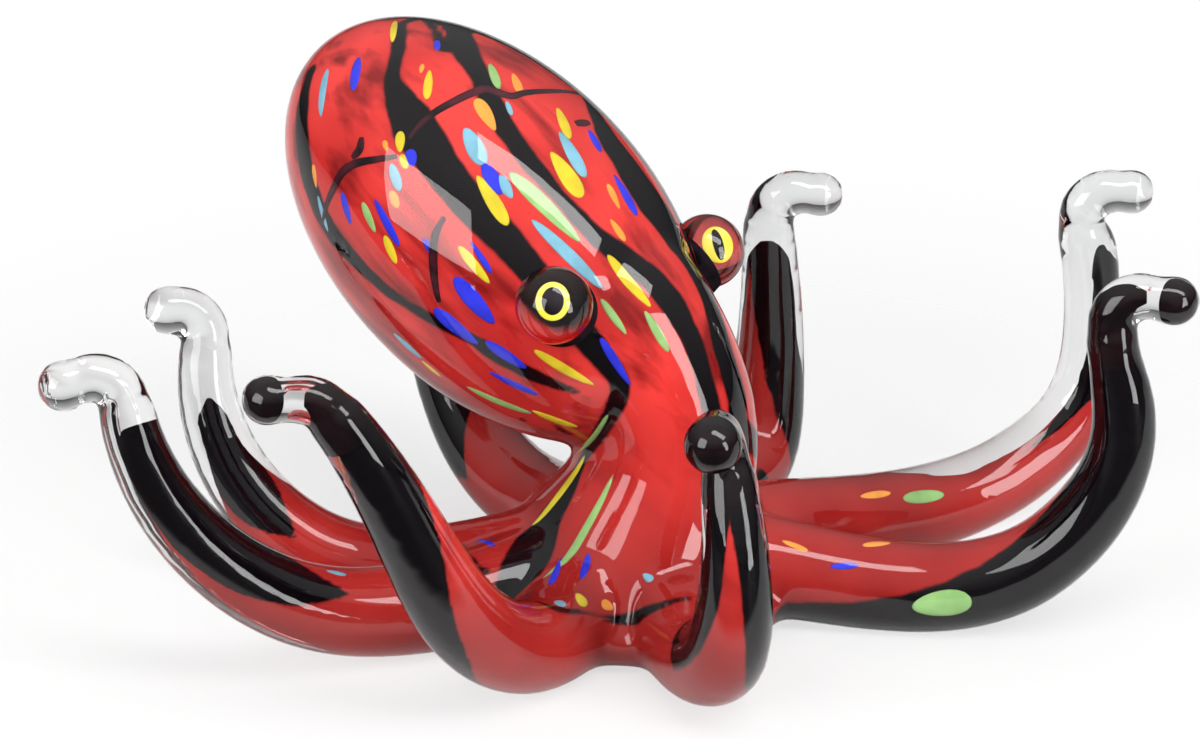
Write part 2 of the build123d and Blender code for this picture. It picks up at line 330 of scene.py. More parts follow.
def pick(*objs):
    """Select these objects alone and make the first one active."""
    bpy.ops.object.select_all(action="DESELECT")
    for obj in objs:
        obj.select_set(True)
    bpy.context.view_layer.objects.active = objs[0]


def edit_all(obj, work):
    """Run work on all of an object's mesh in edit mode."""
    pick(obj)
    bpy.ops.object.mode_set(mode="EDIT")
    bpy.ops.mesh.select_all(action="SELECT")
    work()
    bpy.ops.object.mode_set(mode="OBJECT")


def apply(obj, kind, **settings):
    """Add a modifier with these settings and apply it."""
    pick(obj)
    modifier = obj.modifiers.new(kind.title(), kind)
    for key, value in settings.items():
        setattr(modifier, key, value)
    bpy.ops.object.modifier_apply(modifier=modifier.name)


def copy_of(nodes, name, sink=0.0):
    """One object from copies of these nodes, with their loose triangles merged and sunk by this much."""
    copies = [link(bpy.data.objects.new(name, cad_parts[node].data.copy())) for node in nodes]
    pick(*copies)
    if len(copies) > 1:
        bpy.ops.object.join()
    obj = copies[0]
    edit_all(obj, lambda: bpy.ops.mesh.remove_doubles(threshold=0.01 * MM))
    if sink:
        apply(obj, "DISPLACE", strength=-sink, mid_level=0.0)
    return obj


def ball(rings, radius):
    """New round ball, the only thing selected."""
    bpy.ops.object.select_all(action="DESELECT")
    bpy.ops.mesh.primitive_uv_sphere_add(segments=rings * 2, ring_count=rings, radius=radius)
    return bpy.context.object


def tubes(name, lines, resolution):
    """Capped tubes along lines of points, each given in millimetres with its radius."""
    curve = bpy.data.curves.new(name, "CURVE")
    curve.dimensions = "3D"
    curve.bevel_depth = MM
    curve.bevel_resolution = resolution
    curve.use_fill_caps = True
    for line in lines:
        spline = curve.splines.new("POLY")
        spline.points.add(len(line) - 1)
        for point, (x, y, z, radius) in zip(spline.points, line):
            point.co = (x * MM, y * MM, z * MM, 1)
            point.radius = radius
    obj = link(bpy.data.objects.new(name, curve))
    pick(obj)
    bpy.ops.object.convert(target="MESH")
    return bpy.context.object


def keep_largest(obj):
    """Drop the specks that the merge leaves inside, and keep the one large skin."""
    name = obj.name
    pick(obj)
    bpy.ops.mesh.separate(type="LOOSE")
    shells = sorted(bpy.context.selected_objects, key=lambda o: len(o.data.vertices))
    skin = shells.pop()
    for shell in shells:
        bpy.data.meshes.remove(shell.data)
    skin.name = name
    return skin


def coordinates(obj):
    """Vertex places of a mesh, in millimetres."""
    flat = np.empty(len(obj.data.vertices) * 3)
    obj.data.vertices.foreach_get("co", flat)
    return flat.reshape(-1, 3) / MM


def settle(obj):
    """Finish a piece: smooth shading, and riding on the one body."""
    pick(obj)
    bpy.ops.object.shade_smooth()
    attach(obj, "root")


def smooth_line(points, steps):
    """Points along a smooth curve through these points, steps to each span."""
    p = np.asarray(points, float)
    p = np.vstack([2 * p[0] - p[1], p, 2 * p[-1] - p[-2]])
    out = []
    for i in range(1, len(p) - 2):
        for t in np.arange(steps) / steps:
            a = 2 * p[i]
            b = p[i + 1] - p[i - 1]
            c = 2 * p[i - 1] - 5 * p[i] + 4 * p[i + 1] - p[i + 2]
            d = 3 * p[i] - p[i - 1] - 3 * p[i + 1] + p[i + 2]
            out.append((a + b * t + c * t * t + d * t ** 3) / 2)
    out.append(p[-2])
    return np.array(out)


def arm_line(name, steps=16):
    """Centre line of an arm in millimetres."""
    root, wrist, line = ARM_LINES[name]
    line = (ARM_ROOT, *line)
    points = []
    for i, (reach, height) in enumerate(line):
        azimuth = math.radians(root + (wrist - root) * i / (len(line) - 1))
        points.append((reach * math.cos(azimuth), reach * math.sin(azimuth), height))
    return smooth_line(points, steps)


def nearest_on(line, places):
    """Index of each place's nearest point on a line, and how far off it is."""
    index = np.zeros(len(places), int)
    reach = np.full(len(places), np.inf)
    for i, point in enumerate(line):
        far = np.linalg.norm(places - point, axis=1)
        closer = far < reach
        index[closer] = i
        reach[closer] = far[closer]
    return index, reach


def arm_side(name):
    """Level direction across an arm."""
    azimuth = math.radians(ARM_LINES[name][1])
    return np.array((-math.sin(azimuth), math.cos(azimuth), 0.0))


def outer_faces(name, line):
    """Direction from each point of an arm's line to the arm's outer face."""
    tangent = np.gradient(line, axis=0)
    return np.cross(arm_side(name), tangent / np.linalg.norm(tangent, axis=1)[:, None])


def black_on_arm(name, places):
    """How far each place is outside the black stripe of an arm, in millimetres, and negative inside it."""
    line = arm_line(name)
    index, reach = nearest_on(line, places)
    share = index / (len(line) - 1)
    side = arm_side(name)
    outer = outer_faces(name, line)[index]
    off = places - line[index]
    angle = np.degrees(np.arctan2(off @ side, np.einsum("ij,ij->i", off, outer)))
    centre, starts, closes, opens = ARM_STRIPES[name]
    turn = np.abs((angle - centre + 180) % 360 - 180)
    half = (STRIPE_CLOSED - opens) * np.clip((share - starts) / (closes - starts), STRIPE_LEAD, 1)
    half += opens * np.clip((share - starts) / STRIPE_OPENING, 0, 1)
    field = np.radians(turn - half) * STRIPE_RADIUS
    field[reach > ARM_RADIUS * STRIPE_HOLD] = FAR_FROM_BLACK
    return field


def seen_at(skin, x, y):
    """Place on a surface, in metres, that the camera sees at this dot of the picture."""
    forward = Vector((0, math.cos(CAMERA_RISE), -math.sin(CAMERA_RISE)))
    up = Vector((0, math.sin(CAMERA_RISE), math.cos(CAMERA_RISE)))
    start = LOOK_AT - forward * CAMERA_DISTANCE
    ray = forward * CAMERA_LENS / SENSOR_WIDTH * PICTURE_SIZE[0]
    ray += Vector((1, 0, 0)) * (x - PICTURE_SIZE[0] / 2) - up * (y - PICTURE_SIZE[1] / 2)
    ray.normalize()
    place = skin.ray_cast(start, ray)[0]
    if place is None:
        place = skin.find_nearest(start + ray * CAMERA_DISTANCE)[0]
    return place


def black_on_body(places, skin):
    """How far each place is outside the black trails, in millimetres, and negative inside them."""
    lines = [[(*(seen_at(skin, x, y) / MM), width * DOT / 2) for x, y, width in trail] for trail in TRAILS]
    for turn, half_width in BACK_TRAILS:
        stations = [(turn + along * BACK_TRAIL_LEAN, along) for along in BACK_TRAIL_PLACES]
        lines.append([(*on_mantle(*station), half_width) for station in stations])
    field = np.full(len(places), FAR_FROM_BLACK)
    for points in lines:
        line = smooth_line(points, 12)
        index, reach = nearest_on(line[:, :3], places)
        field = np.minimum(field, reach - line[index, 3])
    return field


# Materials
def remap(tree, value, source, target=(0.0, 1.0), smooth=False):
    """A value's output, moved from one range to another."""
    node = tree.nodes.new("ShaderNodeMapRange")
    if smooth:
        node.interpolation_type = "SMOOTHSTEP"
    for label, number in zip(("From Min", "From Max", "To Min", "To Max"), (*source, *target)):
        node.inputs[label].default_value = number
    tree.links.new(value, node.inputs["Value"])
    return node.outputs["Result"]


def combine(tree, operation, first, second):
    """Sum or product of two values' outputs."""
    node = tree.nodes.new("ShaderNodeMath")
    node.operation = operation
    tree.links.new(first, node.inputs[0])
    tree.links.new(second, node.inputs[1])
    return node.outputs["Value"]


def coordinate(tree, place, letter):
    """One coordinate of a place."""
    split = tree.nodes.new("ShaderNodeSeparateXYZ")
    tree.links.new(place, split.inputs["Vector"])
    return split.outputs[letter]


def noise_at(tree, place, scale):
    """Noise of this scale at a place."""
    noise = tree.nodes.new("ShaderNodeTexNoise")
    noise.inputs["Scale"].default_value = scale
    noise.inputs["Detail"].default_value = NOISE_DETAIL
    tree.links.new(place, noise.inputs["Vector"])
    return noise.outputs["Fac"]


def node_group(name, inputs, outputs):
    """Empty shader node group with these sockets, and its end nodes."""
    group = bpy.data.node_groups.new(name, "ShaderNodeTree")
    for label, kind, value in inputs:
        socket = group.interface.new_socket(label, in_out="INPUT", socket_type=kind)
        socket.default_value = value
    for label, kind in outputs:
        group.interface.new_socket(label, in_out="OUTPUT", socket_type=kind)
    return group, group.nodes.new("NodeGroupInput"), group.nodes.new("NodeGroupOutput")


def worked_surface():
    """Slow waves that tools and heat leave on worked glass, as a height and as a patchy value."""
    name = "worked surface"
    if name in bpy.data.node_groups:
        return bpy.data.node_groups[name]
    group, start, end = node_group(
        name,
        [("Scale", "NodeSocketFloat", 30.0), ("Detail", "NodeSocketFloat", 2.0)],
        [("Height", "NodeSocketFloat"), ("Patch", "NodeSocketFloat")],
    )
    place = group.nodes.new("ShaderNodeTexCoord")
    noise = group.nodes.new("ShaderNodeTexNoise")
    group.links.new(place.outputs["Object"], noise.inputs["Vector"])
    group.links.new(start.outputs["Scale"], noise.inputs["Scale"])
    group.links.new(start.outputs["Detail"], noise.inputs["Detail"])
    group.links.new(noise.outputs["Fac"], end.inputs["Height"])
    group.links.new(remap(group, noise.outputs["Fac"], PATCH_RANGE), end.inputs["Patch"])
    return group


def new_material(name):
    """Node material with its shader and output."""
    material = bpy.data.materials.new(name)
    material.use_nodes = True
    tree = material.node_tree
    return material, tree, tree.nodes["Principled BSDF"], tree.nodes["Material Output"]


def polish(shader):
    """Make a shader smooth, see-through glass."""
    shader.inputs["Roughness"].default_value = 0.0
    shader.inputs["IOR"].default_value = GLASS_INDEX
    shader.inputs["Transmission Weight"].default_value = 1.0


def bury(shader):
    """Take the shine off a shader for glass under the clear casing, which has the shine."""
    shader.inputs["Roughness"].default_value = BURIED_ROUGHNESS
    shader.inputs["Specular IOR Level"].default_value = 0.0


def add_worked_surface(tree, shader, waves):
    """Waves on a material's surface, which give its normal, and the group for its other uses."""
    scale, strength, depth = waves
    group = tree.nodes.new("ShaderNodeGroup")
    group.node_tree = worked_surface()
    group.inputs["Scale"].default_value = scale
    bump = tree.nodes.new("ShaderNodeBump")
    bump.inputs["Strength"].default_value = strength
    bump.inputs["Distance"].default_value = depth * MM
    tree.links.new(group.outputs["Height"], bump.inputs["Height"])
    tree.links.new(bump.outputs["Normal"], shader.inputs["Normal"])
    return group


def two_tone(tree, fac, first, second):
    """Mix of two colours by a value's output."""
    mix = tree.nodes.new("ShaderNodeMix")
    mix.data_type = "RGBA"
    mix.inputs["A"].default_value = (*first, 1)
    mix.inputs["B"].default_value = (*second, 1)
    tree.links.new(fac, mix.inputs["Factor"])
    return mix


def let_light_through(tree, shader, output, tint):
    """Lamps shine straight through this glass, so that what lies inside it is lit."""
    path = tree.nodes.new("ShaderNodeLightPath")
    clear = tree.nodes.new("ShaderNodeBsdfTransparent")
    clear.inputs["Color"].default_value = (*tint, 1)
    mix = tree.nodes.new("ShaderNodeMixShader")
    tree.links.new(path.outputs["Is Shadow Ray"], mix.inputs["Fac"])
    tree.links.new(shader.outputs["BSDF"], mix.inputs[1])
    tree.links.new(clear.outputs["BSDF"], mix.inputs[2])
    tree.links.new(mix.outputs["Shader"], output.inputs["Surface"])


def glass(name, tint, deeper, shadow):
    """Polished see-through glass with slow waves and a faint drift of tint."""
    material, tree, shader, output = new_material(name)
    polish(shader)
    group = add_worked_surface(tree, shader, CLEAR_WAVES)
    mix = two_tone(tree, group.outputs["Patch"], tint, deeper)
    tree.links.new(mix.outputs["Result"], shader.inputs["Base Color"])
    let_light_through(tree, shader, output, shadow)
    return material


def eye_ball_glass(colours):
    """Polished glass that is clear over the iris and red round the rest of the ball."""
    material, tree, shader, output = new_material("red eye glass")
    polish(shader)
    add_worked_surface(tree, shader, EYE_WAVES)
    share = tree.nodes.new("ShaderNodeAttribute")
    share.attribute_name = "red_share"
    mix = two_tone(tree, share.outputs["Fac"], colours.clear, colours.eye)
    tree.links.new(mix.outputs["Result"], shader.inputs["Base Color"])
    let_light_through(tree, shader, output, colours.clear)
    return material


def solid_glass(name, colour, deeper):
    """Opaque coloured glass that lies under the clear casing."""
    material, tree, shader, _ = new_material(name)
    bury(shader)
    group = add_worked_surface(tree, shader, SOLID_WAVES)
    mix = two_tone(tree, group.outputs["Patch"], colour, deeper)
    tree.links.new(mix.outputs["Result"], shader.inputs["Base Color"])
    return material


def by_height(tree, place, low, high):
    """Value that goes from low at the hub to high at the mantle."""
    heights = [height * MM for height in HUB_TO_MANTLE_HEIGHTS]
    return remap(tree, coordinate(tree, place, "Z"), heights, (low, high))


def add_painted_light_and_shade(tree, place, base):
    """Painted light and shade: colour scaled darker at the hub and brighter up the mantle, from a colour's
    output.
    """
    painted_light_scale = tree.nodes.new("ShaderNodeVectorMath")
    painted_light_scale.operation = "SCALE"
    tree.links.new(base, painted_light_scale.inputs["Vector"])
    tree.links.new(by_height(tree, place, HUB_PAINTED_SHADE, MANTLE_PAINTED_LIGHT), painted_light_scale.inputs["Scale"])
    return painted_light_scale.outputs["Vector"]


def add_streaks(tree, place, base, colour):
    """Darker streaks, drawn out along the mantle, over a colour's output."""
    drawn = tree.nodes.new("ShaderNodeMapping")
    drawn.vector_type = "TEXTURE"
    drawn.inputs["Rotation"].default_value = MANTLE_AXIS.to_track_quat("Z", "Y").to_euler()
    drawn.inputs["Scale"].default_value = (1, 1, STREAK_STRETCH)
    tree.links.new(place, drawn.inputs["Vector"])
    share = remap(tree, noise_at(tree, drawn.outputs["Vector"], STREAK_SCALE), STREAK_RANGE)
    tree.links.new(by_height(tree, place, 0.0, 1.0), share.node.inputs["To Max"])
    mix = two_tone(tree, share, colour, colour)
    tree.links.new(base, mix.inputs["A"])
    return mix.outputs["Result"]


def core_glass(colours):
    """Red glass with black trails and stripes, whose edges feather where the colours were drawn out hot."""
    material, tree, shader, _ = new_material("red and black core glass")
    bury(shader)
    group = add_worked_surface(tree, shader, CORE_WAVES)
    place = tree.nodes.new("ShaderNodeTexCoord").outputs["Object"]
    red = two_tone(tree, group.outputs["Patch"], colours.red, colours.deep_red)
    # Painted light and shade: the red is scaled darker at the hub and brighter up the mantle.
    red = add_painted_light_and_shade(tree, place, red.outputs["Result"])
    red = add_streaks(tree, place, red, colours.streak)
    field = tree.nodes.new("ShaderNodeAttribute")
    field.attribute_name = "black_field"
    waver = remap(tree, noise_at(tree, place, EDGE_SCALE), (0.0, 1.0), (-EDGE_WAVER, EDGE_WAVER))
    edge = combine(tree, "ADD", field.outputs["Fac"], waver)
    mix = two_tone(tree, remap(tree, edge, EDGE_BLUR, smooth=True), colours.black, colours.red)
    tree.links.new(red, mix.inputs["B"])
    tree.links.new(mix.outputs["Result"], shader.inputs["Base Color"])
    return material


# Settings
def colour_setting(name, description, value):
    """Setting for a colour of glass."""
    return bpy.props.FloatVectorProperty(
        name=name, description=description, default=value, subtype="COLOR", size=3, min=0.0, max=1.0)


def length_setting(name, description, millimetres):
    """Setting for a length."""
    return bpy.props.FloatProperty(
        name=name, description=description, default=millimetres * MM,
        subtype="DISTANCE", unit="LENGTH", precision=5)


class OctopusColours(bpy.types.PropertyGroup):
    """Colours of the glass."""

    red: colour_setting("Red", "Red of the mantle, neck and arms", (0.50, 0.034, 0.029))
    deep_red: colour_setting("Deep red", "Darker drift in the red", (0.34, 0.016, 0.014))
    streak: colour_setting("Streak", "Thin darker streaks in the red", (0.20, 0.008, 0.008))
    black: colour_setting("Black", "Trails and stripes", (0.003, 0.002, 0.003))
    tip_drift: colour_setting("Tip drift", "Drift in the dark tips", (0.009, 0.003, 0.004))
    pad_drift: colour_setting("Pad drift", "Drift in the eyes' black pads and pupils", (0.02, 0.015, 0.02))
    thread: colour_setting("Thread", "Thin threads over the mantle", (0.075, 0.012, 0.022))
    yellow: colour_setting("Yellow", "Flecks and irises", (0.70, 0.58, 0.03))
    pale_yellow: colour_setting("Pale yellow", "Drift in the yellow", (0.80, 0.70, 0.15))
    blue: colour_setting("Blue", "Flecks", (0.03, 0.04, 0.68))
    sky: colour_setting("Sky blue", "Flecks", (0.19, 0.45, 0.58))
    orange: colour_setting("Orange", "Flecks", (0.90, 0.36, 0.06))
    green: colour_setting("Green", "Flecks", (0.30, 0.54, 0.19))
    clear: colour_setting("Clear", "Clear casing and tips", (0.98, 0.985, 0.985))
    clear_drift: colour_setting("Clear drift", "Faint drift in the clear glass", (0.95, 0.965, 0.965))
    clear_shadow: colour_setting("Clear shadow", "Lamp light left behind clear glass", (0.95, 0.95, 0.95))
    eye: colour_setting("Eye red", "Glass of the eye balls", (0.52, 0.010, 0.009))


class OctopusSizes(bpy.types.PropertyGroup):
    """Sizes of the modelled glass."""

    casing_grain: length_setting("Casing grain", "Mesh size of the clear casing", 1.5)
    core_grain: length_setting("Core grain", "Mesh size of the coloured core", 1.4)
    foot_cover: length_setting("Foot cover", "Clear glass over the coloured foot", 1.8)
    least_cover: length_setting("Least cover", "Least clear glass over the core", 0.8)
    web_rounds: bpy.props.IntProperty(
        name="Web rounds", description="How far the arm roots flow together", default=40)
    floor_size: length_setting("Floor size", "Side of the studio floor", 6000)


def settings():
    """Sizes and colours that the scene holds."""
    return bpy.context.scene.octopus_sizes, bpy.context.scene.octopus_colours


class OCTOPUS_OT_clear_casing(bpy.types.Operator):
    """Clear skin over the whole figurine, with the hooked tips, flowing together at the arm roots"""

    bl_idname = "octopus.clear_casing"
    bl_label = "Clear casing"

    def execute(self, context):
        sizes, colours = settings()
        nodes = [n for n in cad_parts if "eye" not in n]
        obj = copy_of(nodes, "clear_casing")
        apply(obj, "REMESH", mode="VOXEL", voxel_size=sizes.casing_grain)
        obj = keep_largest(obj)
        places = coordinates(obj)
        reach = np.linalg.norm(places - np.array(HUB_MIDDLE), axis=1)
        flow = np.clip((WEB_REACH - reach) / WEB_FADE, LEAST_FLOW, 1)
        flow[places[:, 2] > BODY_HEIGHT] = BODY_FLOW
        group = obj.vertex_groups.new(name="flow")
        for i, weight in enumerate(flow):
            group.add([i], float(weight), "REPLACE")
        apply(obj, "SMOOTH", factor=SMOOTHING, iterations=sizes.web_rounds, vertex_group="flow")
        obj.vertex_groups.clear()
        obj.data.materials.clear()
        clear = glass("clear glass", colours.clear, colours.clear_drift, colours.clear_shadow)
        obj.data.materials.append(clear)
        settle(obj)
        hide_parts(*[n for n in nodes if n.endswith(("_casing", "_tip"))])
        return {"FINISHED"}


class OCTOPUS_OT_coloured_core(bpy.types.Operator):
    """Red and black glass inside the clear casing"""

    bl_idname = "octopus.coloured_core"
    bl_label = "Coloured core"

    def execute(self, context):
        sizes, colours = settings()
        nodes = [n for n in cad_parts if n.endswith("_core")] + ["mantle", "neck", "foot"]
        obj = copy_of(["mantle", "neck"], "coloured_core")
        pieces = [copy_of(["foot"], "foot_core", sink=sizes.foot_cover)]
        for name in ARM_LINES:
            pieces.append(self.arm_core(name))
        pick(obj, *pieces)
        bpy.ops.object.join()
        apply(obj, "REMESH", mode="VOXEL", voxel_size=sizes.core_grain)
        apply(obj, "SMOOTH", factor=SMOOTHING, iterations=CORE_ROUNDS)
        self.keep_inside(obj, sizes.least_cover)
        places = coordinates(obj)
        skin = BVHTree.FromObject(obj, context.evaluated_depsgraph_get())
        field = black_on_body(places, skin)
        for name in ARM_LINES:
            field = np.minimum(field, black_on_arm(name, places))
        attribute = obj.data.attributes.new("black_field", "FLOAT", "POINT")
        attribute.data.foreach_set("value", field.astype(np.float32))
        obj.data.materials.clear()
        obj.data.materials.append(core_glass(colours))
        settle(obj)
        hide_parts(*nodes)
        return {"FINISHED"}

    @staticmethod
    def arm_core(name):
        """Core of one arm, drawn thin on its way up and rounded off where it ends."""
        obj = copy_of([name + "_core"], name + "_core_copy")
        starts, thinnest, stops, off_middle = CORE_RUNS[name]
        line = arm_line(name)
        places = coordinates(obj)
        index, _ = nearest_on(line, places)
        share = index / (len(line) - 1)
        run = np.clip((share - starts) / CORE_THINNING, 0, 1)
        thin = (1 - (1 - thinnest) * run) * np.sqrt(np.clip((stops - share) / CORE_ROUNDING, 0, 1))
        middle = line[np.minimum(index, int(stops * (len(line) - 1)))]
        middle = middle - outer_faces(name, line)[index] * (off_middle * run)[:, None]
        places = middle + (places - line[index]) * thin[:, None]
        obj.data.vertices.foreach_set("co", (places * MM).ravel())
        obj.data.update()
        return obj

    @staticmethod
    def keep_inside(obj, cover):
        """Push the core in wherever less than this much clear glass covers it."""
        casing = bpy.data.objects["clear_casing"]
        skin = BVHTree.FromObject(casing, bpy.context.evaluated_depsgraph_get())
        for vertex in obj.data.vertices:
            place, normal, _, _ = skin.find_nearest(vertex.co)
            depth = (place - vertex.co).dot(normal)
            if depth < cover:
                vertex.co = place - normal * cover


class OCTOPUS_OT_flecks(bpy.types.Operator):
    """Flecks of coloured glass pressed into the core, drawn out along it"""

    bl_idname = "octopus.flecks"
    bl_label = "Colour flecks"

    def execute(self, context):
        _, colours = settings()
        core = bpy.data.objects["coloured_core"]
        skin = BVHTree.FromObject(core, context.evaluated_depsgraph_get())
        draw = random.Random(FLECK_SEED)
        spread = {}
        for name, ends in FLECKS.items():
            spread[name] = [
                (seen_at(skin, *end[:2]), seen_at(skin, *end[2:4]), end[4] * DOT) for end in ends]
        for i in range(BACK_FLECKS):
            name = list(FLECKS)[i % len(FLECKS)]
            turn = draw.uniform(*BACK_FLECK_TURNS)
            along = draw.uniform(*BACK_FLECK_PLACES)
            start = on_mantle(turn, along) * MM
            end = on_mantle(turn, along + draw.uniform(*BACK_FLECK_LENGTHS)) * MM
            spread[name].append((start, end, draw.uniform(*BACK_FLECK_WIDTHS)))
        for name, places in spread.items():
            flecks = [self.fleck(skin, place, draw) for place in places]
            pick(*flecks)
            bpy.ops.object.join()
            obj = flecks[0]
            obj.name = "flecks_" + name
            colour = getattr(colours, name)
            drift = [c * FLECK_DRIFT for c in colour]
            obj.data.materials.append(solid_glass(name + " glass", colour, drift))
            settle(obj)
        return {"FINISHED"}

    @staticmethod
    def fleck(skin, spec, draw):
        """One fleck between two places, bent to the core's surface."""
        start, end, width = spec
        middle, normal, _, _ = skin.find_nearest((start + end) / 2)
        flow = (end - start) / 2
        across = normal.cross(flow).normalized() * width / 2 * MM
        obj = ball(10, 1)
        lean = draw.uniform(-FLECK_LEAN, FLECK_LEAN)
        for vertex in obj.data.vertices:
            x, y, z = vertex.co
            y *= 1 + lean * x
            base, out, _, _ = skin.find_nearest(middle + flow * x + across * y)
            vertex.co = base + out * (FLECK_PROUD + z * FLECK_THICKNESS / 2) * MM
        return obj


class OCTOPUS_OT_threads(bpy.types.Operator):
    """Thin threads of dark glass that cross the mantle"""

    bl_idname = "octopus.threads"
    bl_label = "Dark threads"

    def execute(self, context):
        _, colours = settings()
        core = bpy.data.objects["coloured_core"]
        skin = BVHTree.FromObject(core, context.evaluated_depsgraph_get())
        obj = tubes("dark_threads", [self.thread(skin, dots) for dots in THREADS], 3)
        obj.data.materials.append(solid_glass("dark thread glass", colours.thread, colours.black))
        settle(obj)
        return {"FINISHED"}

    @staticmethod
    def thread(skin, dots):
        """Line of one thread on the core, thinner towards its ends."""
        places = smooth_line([seen_at(skin, x, y) for x, y in dots], 10)
        line = []
        for i, place in enumerate(places):
            swell = math.sin(math.pi * (i + 1) / (len(places) + 1))
            radius = THREAD_RADIUS * (THREAD_ENDS + (1 - THREAD_ENDS) * swell)
            line.append((*(skin.find_nearest(Vector(place))[0] / MM), radius))
        return line


class OCTOPUS_OT_dark_tips(bpy.types.Operator):
    """Dark glass inside the balls at the tips of some arms"""

    bl_idname = "octopus.dark_tips"
    bl_label = "Dark tips"

    def execute(self, context):
        _, colours = settings()
        hearts = []
        for name, (ball_radius, share, hook) in DARK_TIPS.items():
            hearts.append(self.ball_heart(name, ball_radius, share))
            hearts.append(self.bend_core(name, *hook))
        pick(*hearts)
        bpy.ops.object.join()
        obj = hearts[0]
        obj.name = "dark_tips"
        obj.data.materials.append(solid_glass("dark tip glass", colours.black, colours.tip_drift))
        settle(obj)
        return {"FINISHED"}

    @staticmethod
    def ball_heart(name, ball_radius, share):
        """Dark ball inside the ball at an arm's tip."""
        wrist = arm_line(name)[-1]
        tip = coordinates(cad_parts[name + "_tip"])
        reach = tip[np.argmax(np.linalg.norm(tip - wrist, axis=1))] - wrist
        centre = wrist + reach * (1 - ball_radius / np.linalg.norm(reach))
        obj = ball(16, ball_radius * share * MM)
        obj.data.transform(Matrix.Translation(Vector(centre) * MM))
        obj.matrix_world = Matrix.Identity(4)
        return obj

    @staticmethod
    def bend_core(name, azimuth, slope):
        """Dark glass that runs on from an arm's core into the bend of its hook, and thins out there."""
        line = arm_line(name)
        wrist = Vector(line[-1])
        rise = Vector(line[-1] - line[-2]).normalized()
        out = heading(azimuth, slope)
        inward = (out - rise * out.dot(rise)).normalized()
        start = wrist + rise * BEND_START
        points = [(*(wrist - rise * BEND_LEAD), BEND_CORE_RADIUS), (*start, BEND_CORE_RADIUS)]
        turn = rise.angle(out)
        for share in (0.25, 0.5, 0.75, 1.0):
            along = math.sin(turn * share)
            aside = 1 - math.cos(turn * share)
            place = start + (rise * along + inward * aside) * BEND_RADIUS
            points.append((*place, BEND_CORE_RADIUS * (1 - BEND_THINNING * share ** 2)))
        return tubes("bend_core", [smooth_line(points, 6)], 5)


class OCTOPUS_OT_eyes(bpy.types.Operator):
    """Eye balls of see-through red glass, each with a yellow iris ring and a black pupil"""

    bl_idname = "octopus.eyes"
    bl_label = "Eyes"

    def execute(self, context):
        _, colours = settings()
        eye_glass = eye_ball_glass(colours)
        yellow = solid_glass("yellow iris glass", colours.yellow, colours.pale_yellow)
        black = solid_glass("black eye glass", colours.black, colours.pad_drift)
        for name, (turn, below, off, azimuth, slope) in EYES.items():
            centre = (MANTLE_CENTRE - MANTLE_AXIS * below + off_axis(turn) * off) * MM
            gaze = heading(azimuth, slope)
            turned = gaze.to_track_quat("Z", "Y").to_matrix().to_4x4()
            parts = (
                ("_ball", 0.0, (EYE_RADIUS,) * 3, eye_glass, "eye_glass"),
                ("_iris", IRIS_FORWARD, IRIS_HALF_SIZES, yellow, "yellow_glass"),
                ("_pupil", PUPIL_FORWARD, PUPIL_HALF_SIZES[name], black, "black_glass"),
            )
            for part, forward, half_sizes, material, slot in parts:
                place = Matrix.Translation(centre + gaze * forward * MM) @ turned
                obj = self.rounded(half_sizes, place)
                if part == "_ball":
                    self.redden(obj, centre, gaze)
                self.finish(obj, name + part, material, slot)
            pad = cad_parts[name + "_pad"]
            for i in range(len(pad.material_slots)):
                pad.material_slots[i].material = black
        return {"FINISHED"}

    @staticmethod
    def rounded(half_sizes, place):
        """Ball squeezed to these half sizes, in millimetres, and set in place."""
        obj = ball(32, MM)
        obj.data.transform(place @ Matrix.Diagonal((*half_sizes, 1)))
        obj.matrix_world = Matrix.Identity(4)
        return obj

    @staticmethod
    def redden(obj, centre, gaze):
        """Mark how red the ball is, from none in front, where the iris lies, to full at its sides."""
        height = (coordinates(obj) - np.array(centre) / MM) @ np.array(gaze) / EYE_RADIUS
        share = np.clip((CLEAR_FRONT - height) / RED_RUN, 0, 1).astype(np.float32)
        obj.data.attributes.new("red_share", "FLOAT", "POINT").data.foreach_set("value", share)

    @staticmethod
    def finish(obj, node, material, slot):
        """Name a piece for the node it stands for, and give it its glass."""
        obj.name = node.replace("_eye_", "_eye_glass_")
        obj.data.materials.append(material)
        settle(obj)
        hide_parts(node)


